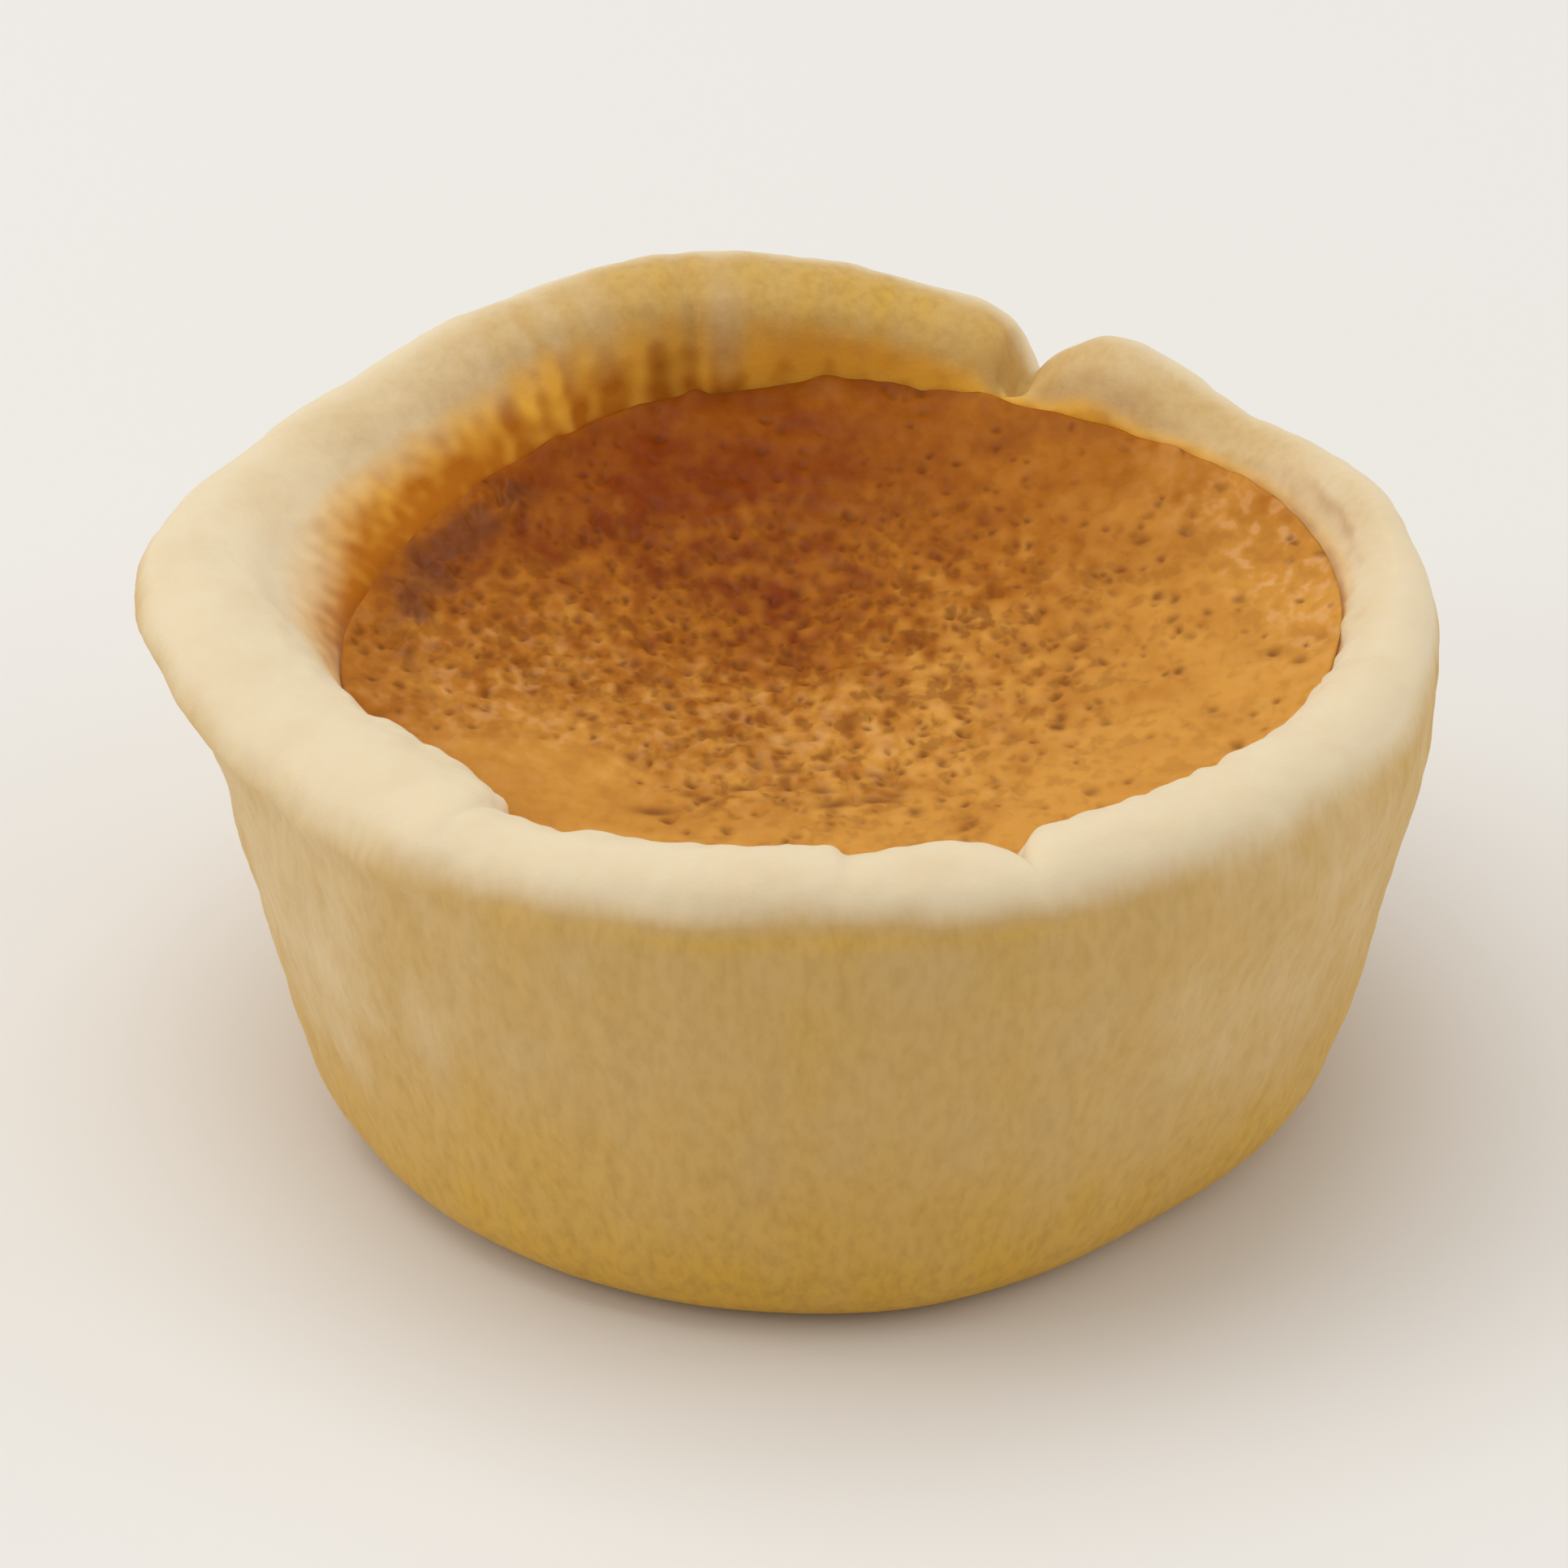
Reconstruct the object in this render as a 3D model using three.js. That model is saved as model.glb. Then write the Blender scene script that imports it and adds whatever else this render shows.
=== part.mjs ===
// A butter tart: a pastry cup pressed by hand into a round tin hollow, its lip rolled and uneven,
// holding a baked filling that has sunk into a shallow dish just below the lip.
//
// Millimetres, +Z up. The origin is the middle of the flat underside. Azimuths are in degrees,
// 0 along +X and 90 along +Y. Every cross-section of the cup is one outline in (radius, height),
// worked out for its own azimuth, and the cup is those outlines joined round the axis.

import * as THREE from "three";

// Foot and side of the cup.
const FOOT_RADIUS = 27.2; // where the line of the side would meet the underside
const FOOT_ROUND = 3.6; // rounding between the underside and the side
const SIDE_LEAN = 0.255; // how far the side leans out for each millimetre up
const SIDE_BULGE = 0.4; // how far the middle of the side stands out of a straight line
const SHOULDER_HEIGHT = 22.5; // the side ends here and the lip begins
const NECK = 0.2; // how far the side may draw in just under the lip

// Lip.
const LIP_RADIUS = 33.4; // the outermost line of the lip
const LIP_HEIGHT = 27.4; // the height of that line
const LIP_WIDTH = 5.9; // from that line in to the inner edge
const LIP_RISE = 3.2; // from that line up to the crest
const LEAST_OVER_FILL = 0.2; // the inner edge stays this far above the filling
const LEAST_INNER_SLOPE = 0.3; // and this far outside the filling's edge

// The lip's outline, as shares of its width inwards and of its rise upwards.
const UNDER_LIP = [0.1, -0.55];
const LIP_SHAPE = [
  [0, 0],
  [0.15, 0.72],
  [0.46, 1],
  [0.8, 0.8],
];
const INNER_EDGE = [1, 0.3];

// Inside of the cup.
const FLOOR_THICKNESS = 3.6;
const FLOOR_ROUND = 2.5; // rounding between floor and wall
const WALL_THICKNESS = 4.4; // below the filling's edge

// Filling.
const FILL_RADIUS = 26.8; // the filling's edge
const FILL_HEIGHT = 27.8;
const DISH_DEPTH = 2.6; // how far the surface sinks below its edge
const DISH_POWER = 2.4; // how late it turns up towards the edge
const EDGE_POWER = 3; // how soon the edge's own rises and falls fade inwards
const CLEARANCE = 0.3; // between filling and cup

// Fineness of the two solids.
const SEGMENTS = 120;
const SKIN_POINTS = 24; // two for each stretch between the outline's control points
const DISH_RINGS = 9;
const RING_CROWDING = 1.25; // above 1, the rings lie closer towards the edge

// What the fingers left in the dough. A swell is centred at an azimuth and fades out over its spread.
const FOOT_OUT = [{ at: 314, spread: 24, size: -1.7 }];
const LIP_OUT = [
  { at: 176, spread: 27, size: 3.9 },
  { at: 144, spread: 24, size: 1.0 },
  { at: 117, spread: 14, size: 0.6 },
];
const LIP_UP = [
  { at: 108, spread: 34, size: 3.9 },
  { at: 178, spread: 26, size: 1.7 },
  { at: 284, spread: 46, size: 1.6 },
  { at: 41, spread: 10, size: -1.2 },
  { at: 20, spread: 12, size: 0.5 },
  { at: 58, spread: 8, size: 0.8 },
];
const LIP_FLATTER = [{ at: 180, spread: 32, size: 0.7 }];
const LIP_WIDER = [
  { at: 192, spread: 40, size: 2.3 },
  { at: 219, spread: 13, size: 1.5 },
  { at: 290, spread: 50, size: 0.8 },
  { at: 100, spread: 30, size: 0.6 },
  { at: 16, spread: 34, size: -1.5 },
];
const FILL_OUT = [
  { at: 14, spread: 42, size: 1.1 },
  { at: 56, spread: 16, size: -0.7 },
  { at: 124, spread: 20, size: -1.0 },
  { at: 156, spread: 30, size: -2.5 },
];
const FILL_UP = [
  { at: 0, spread: 42, size: 1.1 },
  { at: 98, spread: 26, size: 0.3 },
];

// Cuts into the lip, each deepest at one azimuth and gone over a few degrees on either side.
// The first is a lapped fold at the back, where the high side ends in a nick.
const LAP = { at: 67.5, size: 3.8, below: 5, above: 2 };
const INNER_NICKS = [
  { at: 272, size: 1.0, below: 0.8, above: 9 },
  { at: 290, size: 2.6, below: 2.4, above: 1.6 },
  { at: 231, size: 1.0, below: 0.8, above: 8 },
  { at: 105, size: 0.6, below: 1.5, above: 3 },
];
const NICK_DROP = 0.35; // how far the crest sinks for each millimetre that a nick cuts in

// Waves round the cup, that together make the slow unevenness of the lip.
const WAVES = [
  { cycles: 5, share: 0.5, phase: 0.7 },
  { cycles: 8, share: 0.3, phase: 2.1 },
  { cycles: 13, share: 0.2, phase: 0 },
];
const LIP_WAVER = 0.25;

const radians = (degrees) => (degrees * Math.PI) / 180;

// The signed turn from one azimuth to another, from -180 to 180.
const turn = (azimuth, at) => ((((azimuth - at + 180) % 360) + 360) % 360) - 180;

// The sum of some swells at an azimuth.
function swell(azimuth, swells) {
  const parts = swells.map((s) => s.size * Math.exp(-((turn(azimuth, s.at) / s.spread) ** 2)));
  return parts.reduce((sum, part) => sum + part, 0);
}

// How deep a cut is at an azimuth.
function cutDepth(azimuth, cut) {
  const away = turn(azimuth, cut.at);
  return cut.size * Math.exp(-Math.abs(away) / (away > 0 ? cut.above : cut.below));
}

// The slow unevenness of hand-pressed dough, at most the given size.
function waver(azimuth, size) {
  const parts = WAVES.map((w) => w.share * Math.sin(w.cycles * radians(azimuth) + w.phase));
  return size * parts.reduce((sum, part) => sum + part, 0);
}

// The measures of the lip and of the filling's edge at an azimuth.
function lipAt(azimuth) {
  const lap = cutDepth(azimuth, LAP);
  const nick = INNER_NICKS.reduce((sum, cut) => sum + cutDepth(azimuth, cut), 0);
  const outer = LIP_RADIUS + swell(azimuth, LIP_OUT) + waver(azimuth, LIP_WAVER);
  const height = LIP_HEIGHT + swell(azimuth, LIP_UP) + waver(azimuth + 40, LIP_WAVER) - lap;
  const width = LIP_WIDTH + swell(azimuth, LIP_WIDER) + waver(azimuth + 90, LIP_WAVER) - nick;
  const rise = LIP_RISE - swell(azimuth, LIP_FLATTER) - NICK_DROP * nick;
  const mostFill = outer - width - LEAST_INNER_SLOPE;
  const fillRadius = Math.min(FILL_RADIUS + swell(azimuth, FILL_OUT), mostFill);
  const fillHeight = FILL_HEIGHT + swell(azimuth, FILL_UP);
  return { outer, height, width, rise, fillRadius, fillHeight };
}

// A point of the lip, at shares of its width inwards and of its rise upwards.
function lipPoint(lip, [inwards, upwards]) {
  return new THREE.Vector2(lip.outer - inwards * lip.width, lip.height + upwards * lip.rise);
}

// The radius of the side's outer face at an azimuth and a height, up to the shoulder.
function sideRadius(azimuth, height) {
  const along = height / SHOULDER_HEIGHT;
  const foot = FOOT_RADIUS + swell(azimuth, FOOT_OUT) * (1 - along);
  return foot + SIDE_LEAN * height + SIDE_BULGE * 4 * along * (1 - along);
}

// The cup's outline at an azimuth, from the middle of the underside round to the middle of the floor.
function cupOutline(azimuth) {
  const lip = lipAt(azimuth);
  const foot = sideRadius(azimuth, 0);
  const underLip = lipPoint(lip, UNDER_LIP);
  underLip.x = Math.max(underLip.x, sideRadius(azimuth, underLip.y) - NECK);
  const innerEdge = lipPoint(lip, INNER_EDGE);
  innerEdge.y = Math.max(innerEdge.y, lip.fillHeight + LEAST_OVER_FILL);
  const sideHeights = [FOOT_ROUND, 0.4 * SHOULDER_HEIGHT, 0.72 * SHOULDER_HEIGHT, SHOULDER_HEIGHT];
  const skin = new THREE.SplineCurve([
    new THREE.Vector2(foot - FOOT_ROUND, 0),
    new THREE.Vector2(foot - 0.25 * FOOT_ROUND, 0.22 * FOOT_ROUND),
    ...sideHeights.map((height) => new THREE.Vector2(sideRadius(azimuth, height), height)),
    underLip,
    ...LIP_SHAPE.map((place) => lipPoint(lip, place)),
    innerEdge,
    new THREE.Vector2(lip.fillRadius, lip.fillHeight),
  ]);
  return [
    new THREE.Vector2(0, 0),
    new THREE.Vector2(FOOT_RADIUS / 2, 0),
    ...skin.getPoints(SKIN_POINTS),
    ...innerOutline(azimuth, 0),
  ];
}

// The inside of the cup below the filling's edge, down to the middle of the floor, moved in by a clearance.
function innerOutline(azimuth, clearance) {
  const floor = FLOOR_THICKNESS + clearance;
  const wallRadius = (height) => sideRadius(azimuth, height) - WALL_THICKNESS - clearance;
  const corner = wallRadius(FLOOR_THICKNESS);
  return [
    new THREE.Vector2(wallRadius(FILL_HEIGHT / 2), FILL_HEIGHT / 2),
    new THREE.Vector2(corner, floor + FLOOR_ROUND),
    new THREE.Vector2(corner - FLOOR_ROUND, floor),
    new THREE.Vector2(FOOT_RADIUS / 2, floor),
    new THREE.Vector2(0, floor),
  ];
}

// The filling's outline at an azimuth, from the middle of its underside round to the middle of its surface.
function fillingOutline(azimuth) {
  const lip = lipAt(azimuth);
  const surface = [];
  for (let ring = 0; ring <= DISH_RINGS; ring++) {
    const share = 1 - (ring / DISH_RINGS) ** RING_CROWDING;
    const level = FILL_HEIGHT + (lip.fillHeight - FILL_HEIGHT) * share ** EDGE_POWER;
    const sunk = DISH_DEPTH * (1 - share ** DISH_POWER);
    surface.push(new THREE.Vector2((lip.fillRadius - CLEARANCE) * share, level - sunk));
  }
  return [...innerOutline(azimuth, CLEARANCE).reverse(), ...surface];
}

// A solid whose outline changes with the azimuth: a turned solid, given each azimuth's own outline.
function turnedSolid(outline) {
  const rows = outline(0).length;
  const geometry = new THREE.LatheGeometry(outline(0), SEGMENTS);
  const position = geometry.getAttribute("position");
  for (let segment = 0; segment <= SEGMENTS; segment++) {
    const azimuth = ((segment % SEGMENTS) * 360) / SEGMENTS;
    outline(azimuth).forEach((point, row) => {
      const x = point.x * Math.cos(radians(azimuth));
      const y = point.x * Math.sin(radians(azimuth));
      position.setXYZ(segment * rows + row, x, y, point.y);
    });
  }
  geometry.computeVertexNormals();
  return geometry;
}

function piece(name, geometry, color, roughness) {
  const material = new THREE.MeshStandardMaterial({ color, roughness, metalness: 0 });
  const mesh = new THREE.Mesh(geometry, material);
  mesh.name = name;
  return mesh;
}

const tart = new THREE.Group();
tart.add(piece("crust", turnedSolid(cupOutline), 0xdcb97c, 0.75));
tart.add(piece("filling", turnedSolid(fillingOutline), 0xa9662a, 0.4));

export default tart;
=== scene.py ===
"""A butter tart: a baked shortcrust cup with a rolled, uneven lip, and the dished, porous filling in it.

Sizes are in millimetres unless something else is said, and azimuths in degrees, 0 along +X and 90 along
+Y. The finished meshes are in metres, in the frame's own axes, with the origin in the middle of the
underside.
"""

import logging
import math
from collections.abc import Callable
from dataclasses import dataclass
from enum import Enum
from functools import partial

import bpy
import numpy as np
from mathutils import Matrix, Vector, kdtree, noise

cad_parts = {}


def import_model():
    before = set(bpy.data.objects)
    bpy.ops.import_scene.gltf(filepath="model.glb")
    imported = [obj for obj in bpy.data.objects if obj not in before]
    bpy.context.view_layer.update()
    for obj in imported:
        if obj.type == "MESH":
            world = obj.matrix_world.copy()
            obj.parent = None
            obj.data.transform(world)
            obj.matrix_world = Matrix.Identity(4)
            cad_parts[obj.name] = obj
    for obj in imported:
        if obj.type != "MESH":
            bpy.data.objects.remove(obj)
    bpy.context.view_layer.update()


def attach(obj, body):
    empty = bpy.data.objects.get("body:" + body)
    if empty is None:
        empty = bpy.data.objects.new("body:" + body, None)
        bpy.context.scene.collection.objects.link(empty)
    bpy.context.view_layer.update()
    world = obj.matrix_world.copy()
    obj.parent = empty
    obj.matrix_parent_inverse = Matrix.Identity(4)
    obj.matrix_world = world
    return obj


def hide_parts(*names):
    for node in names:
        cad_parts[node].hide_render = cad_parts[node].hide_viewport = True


log = logging.getLogger("butter_tart")

MM = 0.001
BODY = "root"


class Slot(Enum):
    """The record's material slots."""

    PASTRY = "pastry"
    FILLING = "filling"


class Grain(Enum):
    """The kinds of unevenness that a displacement can press into a surface."""

    LUMPS = "CLOUDS"
    PITS = "STUCCI"


def turn(azimuths: np.ndarray, at: float) -> np.ndarray:
    """Returns the signed turn from one azimuth to each of the others, from -180 to 180."""
    return (azimuths - at + 180) % 360 - 180


def ease(values: np.ndarray, start: float, end: float) -> np.ndarray:
    """Returns how far up a smooth rise each value is, from 0 at start to 1 at end; end may be the lower."""
    share = np.clip((values - start) / (end - start), 0, 1)
    return share * share * (3 - 2 * share)


def hump(values: np.ndarray, middle: float, spread: float) -> np.ndarray:
    """Returns a soft bump of height 1 round a middle value."""
    return np.exp(-(((values - middle) / spread) ** 2))


@dataclass(frozen=True)
class Mottle:
    """Smooth unevenness in space: the width of one mottle in millimetres, and how strong it is.

    The shift moves the pattern, so that two mottles differ. A share under 1 draws it out along an axis.
    """

    size: float
    shift: float = 0.0
    depth: float = 1.0
    shares: tuple = (1, 1, 1)

    def over(self, points: np.ndarray) -> np.ndarray:
        """Returns the unevenness at each point, from about -depth to depth."""
        moved = points * self.shares / self.size + self.shift
        return self.depth * np.array([noise.noise(Vector(place)) for place in moved])


@dataclass(frozen=True)
class Swell:
    """A rise of the dough, or of a value on it, that fades out on both sides of an azimuth."""

    at: float
    spread: float
    size: float = 1.0

    def over(self, azimuths: np.ndarray) -> np.ndarray:
        """Returns the height of the swell at each azimuth."""
        return self.size * hump(turn(azimuths, self.at), 0, self.spread)


@dataclass(frozen=True)
class Cut:
    """A cut that is deepest at an azimuth and gone a few degrees below and above it."""

    at: float
    size: float
    below: float
    above: float

    def over(self, azimuths: np.ndarray) -> np.ndarray:
        """Returns the depth of the cut at each azimuth."""
        away = turn(azimuths, self.at)
        return self.size * np.exp(-np.abs(away) / np.where(away > 0, self.above, self.below))


@dataclass(frozen=True)
class Wave:
    """One wave round the cup."""

    cycles: int
    share: float
    phase: float

    def over(self, azimuths: np.ndarray) -> np.ndarray:
        """Returns the wave at each azimuth."""
        return self.share * np.sin(self.cycles * np.radians(azimuths) + self.phase)


@dataclass(frozen=True)
class Band:
    """A stretch of the crust's skin, which rises from one place and falls to another.

    Places along the skin are counted in its outline's control points, from 0 at the underside's rim to
    12 at the filling's edge. The side is from 2 to 5, and the lip has its outermost line at 7, its crest
    at 9 and its inner edge at 11.
    """

    start: float
    full: float
    fading: float = 12.0
    end: float = 13.0

    def over(self, place: np.ndarray) -> np.ndarray:
        """Returns how far each place lies in the band, from 0 to 1."""
        return ease(place, self.start, self.full) * ease(place, self.end, self.fading)


@dataclass(frozen=True)
class Mark:
    """A mark on the crust's skin, round an azimuth and a place along the skin."""

    at: float
    spread: float
    place: float
    reach: float
    size: float

    def over(self, azimuth: np.ndarray, place: np.ndarray) -> np.ndarray:
        """Returns the strength of the mark at each point."""
        return Swell(self.at, self.spread, self.size).over(azimuth) * hump(place, self.place, self.reach)


@dataclass(frozen=True)
class Patch:
    """An oval patch of the filling, in millimetres, that fades out round its middle.

    A power above 1 gives it an even middle and a sharper edge.
    """

    x: float
    y: float
    width: float
    depth: float
    size: float
    power: float = 1.0

    def over(self, points: np.ndarray) -> np.ndarray:
        """Returns the strength of the patch at each point."""
        away = np.hypot((points[:, 0] - self.x) / self.width, (points[:, 1] - self.y) / self.depth)
        return self.size * hump(away**self.power, 0, 1)


def total(marks: tuple, where: np.ndarray) -> np.ndarray:
    """Returns the sum of swells, cuts or waves at each azimuth, or of patches or mottles at points."""
    return sum(mark.over(where) for mark in marks)


def smooth_curve(controls: np.ndarray, places: np.ndarray) -> np.ndarray:
    """Reads the smooth curves that pass through rows of control points.

    Args:
        controls: the control points, shape (count, columns, 2).
        places: where the curves are read, each from 0 to count - 1.

    Returns:
        The points read, shape (places, columns, 2).
    """
    last = len(controls) - 1
    start = np.minimum(places.astype(int), last - 1)
    share = (places - start)[:, None, None]
    here, there = controls[start], controls[start + 1]
    leave = (there - controls[np.maximum(start - 1, 0)]) / 2
    arrive = (controls[np.minimum(start + 2, last)] - here) / 2
    cubic = 2 * here - 2 * there + leave + arrive
    square = 3 * there - 3 * here - 2 * leave - arrive
    return ((cubic * share + square) * share + leave) * share + here


@dataclass(frozen=True)
class TartForm:
    """The sizes of the tart and the outline that they give at each azimuth."""

    foot_radius: float = 27.2
    foot_round: float = 3.6
    foot_bend: tuple = (0.25, 0.22)
    side_lean: float = 0.255
    side_bulge: float = 0.4
    side_shares: tuple = (0.4, 0.72)
    shoulder_height: float = 22.5
    neck: float = 0.2

    lip_radius: float = 33.4
    lip_height: float = 27.4
    lip_width: float = 5.9
    lip_rise: float = 3.2
    least_over_fill: float = 0.2
    least_inner_slope: float = 0.3
    under_lip: tuple = (0.1, -0.55)
    lip_shape: tuple = ((0, 0), (0.15, 0.72), (0.46, 1), (0.8, 0.8))
    inner_edge: tuple = (1, 0.3)

    floor_thickness: float = 3.6
    floor_round: float = 2.5
    wall_thickness: float = 4.4

    fill_radius: float = 26.8
    fill_height: float = 27.8
    dish_depth: float = 2.6
    dish_power: float = 2.4
    edge_power: float = 3

    foot_out: tuple = (Swell(314, 24, -1.7),)
    lip_out: tuple = (Swell(176, 27, 3.9), Swell(144, 24, 1.0), Swell(117, 14, 0.6))
    lip_up: tuple = (
        Swell(108, 34, 3.9),
        Swell(178, 26, 1.7),
        Swell(284, 46, 1.6),
        Swell(41, 10, -1.2),
        Swell(20, 12, 0.5),
        Swell(58, 8, 0.8),
    )
    lip_flatter: tuple = (Swell(180, 32, 0.7),)
    lip_wider: tuple = (
        Swell(192, 40, 2.3),
        Swell(219, 13, 1.5),
        Swell(290, 50, 0.8),
        Swell(100, 30, 0.6),
        Swell(16, 34, -1.5),
    )
    fill_out: tuple = (
        Swell(14, 42, 1.1),
        Swell(56, 16, -0.7),
        Swell(124, 20, -1.0),
        Swell(156, 30, -2.5),
    )
    fill_up: tuple = (Swell(0, 42, 1.1), Swell(98, 26, 0.3))
    lap: Cut = Cut(67.5, 3.8, 5, 2)
    nicks: tuple = (
        Cut(272, 1.0, 0.8, 9),
        Cut(290, 2.6, 2.4, 1.6),
        Cut(231, 1.0, 0.8, 8),
        Cut(105, 0.6, 1.5, 3),
    )
    nick_drop: float = 0.35
    waves: tuple = (Wave(5, 0.5, 0.7), Wave(8, 0.3, 2.1), Wave(13, 0.2, 0))
    lip_waver: float = 0.25
    # The lip's height and width waver out of step with its radius, by these turns.
    height_turn: float = 40.0
    width_turn: float = 90.0

    def waver(self, azimuths: np.ndarray) -> np.ndarray:
        """Returns the slow unevenness of hand-pressed dough at each azimuth."""
        return self.lip_waver * total(self.waves, azimuths)

    def lip(self, azimuths: np.ndarray) -> dict[str, np.ndarray]:
        """Measures the lip and the filling's edge.

        Args:
            azimuths: where they are measured.

        Returns:
            The outermost radius and its height, the lip's width and rise, and the radius and height of
            the filling's edge, each by name.
        """
        nick = total(self.nicks, azimuths)
        outer = self.lip_radius + total(self.lip_out, azimuths) + self.waver(azimuths)
        height = self.lip_height + total(self.lip_up, azimuths) + self.waver(azimuths + self.height_turn)
        width = self.lip_width + total(self.lip_wider, azimuths) + self.waver(azimuths + self.width_turn)
        width -= nick
        most_fill = outer - width - self.least_inner_slope
        return {
            "outer": outer,
            "height": height - self.lap.over(azimuths),
            "width": width,
            "rise": self.lip_rise - total(self.lip_flatter, azimuths) - self.nick_drop * nick,
            "fill_radius": np.minimum(self.fill_radius + total(self.fill_out, azimuths), most_fill),
            "fill_height": self.fill_height + total(self.fill_up, azimuths),
        }

    def side_radius(self, azimuths: np.ndarray, height: np.ndarray | float) -> np.ndarray:
        """Returns the radius of the side's outer face at each azimuth, at a height."""
        along = height / self.shoulder_height
        foot = self.foot_radius + total(self.foot_out, azimuths) * (1 - along)
        return foot + self.side_lean * height + self.side_bulge * 4 * along * (1 - along)

    def skin_controls(self, azimuths: np.ndarray, below_fill: float) -> np.ndarray:
        """The control points of the skin, from the underside's rim out, up, over the lip and in.

        Args:
            azimuths: the columns of the skin.
            below_fill: how far the skin goes on below the filling's edge.

        Returns:
            The control points, shape (13, columns, 2), as radius and height.
        """
        lip = self.lip(azimuths)
        level = np.ones_like(azimuths)

        def at_lip(inwards: float, upwards: float) -> list[np.ndarray]:
            """Returns a point of the lip, from shares of its width and of its rise."""
            return [lip["outer"] - inwards * lip["width"], lip["height"] + upwards * lip["rise"]]

        foot = self.side_radius(azimuths, 0)
        bend_in, bend_up = self.foot_bend
        on_side = (share * self.shoulder_height for share in self.side_shares)
        heights = (self.foot_round, *on_side, self.shoulder_height)
        under = at_lip(*self.under_lip)
        under[0] = np.maximum(under[0], self.side_radius(azimuths, under[1]) - self.neck)
        edge = at_lip(*self.inner_edge)
        edge[1] = np.maximum(edge[1], lip["fill_height"] + self.least_over_fill)
        rows = [
            [foot - self.foot_round, 0 * level],
            [foot - bend_in * self.foot_round, bend_up * self.foot_round * level],
            *[[self.side_radius(azimuths, height), height * level] for height in heights],
            under,
            *[at_lip(*place) for place in self.lip_shape],
            edge,
            [lip["fill_radius"], lip["fill_height"] - below_fill],
        ]
        return np.array(rows).transpose(0, 2, 1)

    def pocket(self, azimuths: np.ndarray, clearance: float) -> np.ndarray:
        """The inside of the cup below the filling's edge.

        Args:
            azimuths: the columns.
            clearance: how far the outline is moved in from the crust's own.

        Returns:
            The outline from the wall down to the middle of the floor, shape (5, columns, 2).
        """
        level = np.ones_like(azimuths)
        half_height = self.fill_height / 2
        floor = (self.floor_thickness + clearance) * level
        wall = self.side_radius(azimuths, half_height) - self.wall_thickness - clearance
        corner = self.side_radius(azimuths, self.floor_thickness) - self.wall_thickness - clearance
        rows = [
            [wall, half_height * level],
            [corner, floor + self.floor_round],
            [corner - self.floor_round, floor],
            [self.foot_radius / 2 * level, floor],
            [0 * level, floor],
        ]
        return np.array(rows).transpose(0, 2, 1)


def select_only(piece: bpy.types.Object) -> None:
    """Makes a piece the active object and the only one selected.

    Args:
        piece: the piece.
    """
    bpy.ops.object.select_all(action="DESELECT")
    piece.select_set(True)
    bpy.context.view_layer.objects.active = piece


def read_points(piece: bpy.types.Object) -> np.ndarray:
    """Reads a piece's vertices.

    Args:
        piece: the piece.

    Returns:
        Their places in millimetres, shape (count, 3).
    """
    points = np.empty(len(piece.data.vertices) * 3)
    piece.data.vertices.foreach_get("co", points)
    return points.reshape(-1, 3) / MM


def read_normals(piece: bpy.types.Object) -> np.ndarray:
    """Reads the direction that each of a piece's vertices faces.

    Args:
        piece: the piece.

    Returns:
        The directions, shape (count, 3).
    """
    normals = np.empty(len(piece.data.vertices) * 3)
    piece.data.vertex_normals.foreach_get("vector", normals)
    return normals.reshape(-1, 3)


def write_points(piece: bpy.types.Object, points: np.ndarray) -> None:
    """Puts a piece's vertices at places in millimetres."""
    piece.data.vertices.foreach_set("co", (points * MM).ravel())
    piece.data.update()


def write_values(piece: bpy.types.Object, name: str, values: np.ndarray) -> None:
    """Keeps one value for each vertex of a piece, which its material reads by name."""
    attribute = piece.data.attributes.get(name) or piece.data.attributes.new(name, "FLOAT", "POINT")
    attribute.data.foreach_set("value", np.asarray(values, dtype=np.float32))


def read_selected(piece: bpy.types.Object) -> np.ndarray:
    """Reads which of a piece's vertices are selected.

    Args:
        piece: the piece.

    Returns:
        Whether each vertex is, shape (count,).
    """
    selected = np.empty(len(piece.data.vertices), dtype=bool)
    piece.data.vertices.foreach_get("select", selected)
    return selected


def press_grain(
    piece: bpy.types.Object, grain: Grain, size: float, depth: float, where: np.ndarray, steps: int = 20
) -> None:
    """Displaces a piece along its normals by a procedural pattern, and applies the modifier.

    Args:
        piece: the piece.
        grain: the kind of pattern.
        size: the width of one lump in millimetres.
        depth: how far the pattern moves the surface in all, in millimetres.
        where: the share of the depth at each vertex, from 0 to 1.
        steps: how finely the shares are told apart.
    """
    texture = bpy.data.textures.new(f"{piece.name}_{grain.name.lower()}", grain.value)
    texture.noise_scale = size * MM
    group = piece.vertex_groups.new(name=grain.name.lower())
    for step in range(1, steps + 1):
        chosen = np.flatnonzero(np.round(where * steps) == step)
        group.add(chosen.tolist(), step / steps, "REPLACE")
    modifier = piece.modifiers.new(grain.name.lower(), "DISPLACE")
    modifier.texture = texture
    modifier.texture_coords = "LOCAL"
    modifier.vertex_group = group.name
    modifier.strength = depth * MM
    modifier.mid_level = 0.5
    select_only(piece)
    bpy.ops.object.modifier_apply(modifier=modifier.name)
    piece.vertex_groups.clear()
    bpy.data.textures.remove(texture)


def linear(code: str) -> tuple[float, float, float, float]:
    """Turns an sRGB colour to a linear one.

    Args:
        code: the hex code, such as "e7d8b9".

    Returns:
        The linear red, green, blue and alpha.
    """
    channels = [int(code[i : i + 2], 16) / 255 for i in (0, 2, 4)]
    turned = [c / 12.92 if c <= 0.04045 else ((c + 0.055) / 1.055) ** 2.4 for c in channels]
    return (*turned, 1.0)


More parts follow.
